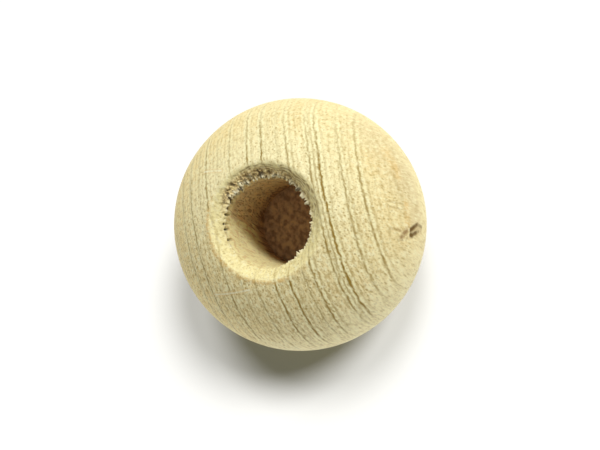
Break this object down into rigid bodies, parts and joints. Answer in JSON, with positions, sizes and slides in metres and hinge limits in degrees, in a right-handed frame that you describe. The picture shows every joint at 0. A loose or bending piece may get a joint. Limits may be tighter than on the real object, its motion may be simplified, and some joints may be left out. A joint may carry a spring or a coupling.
{
  "type": "wooden ball",
  "caption": "Turned solid wooden ball with a blind, flat-bottomed hole drilled to its centre and a countersunk, softened rim, to sit on the end of a dowel or rod.",
  "frame": {"origin": "centre of the ball, which is also the centre of the hole's flat floor", "axes": "+Z along the hole's axis, out of its mouth, which is also the way the fibres run; the growth rings are stacked roughly along +X"},
  "size_m": [0.032, 0.032, 0.0305],
  "materials": {
    "bare_wood": "bare, fine sanded, matte"
  },
  "bodies": {
    "root": {"ball": "bare_wood"}
  },
  "joints": []
}
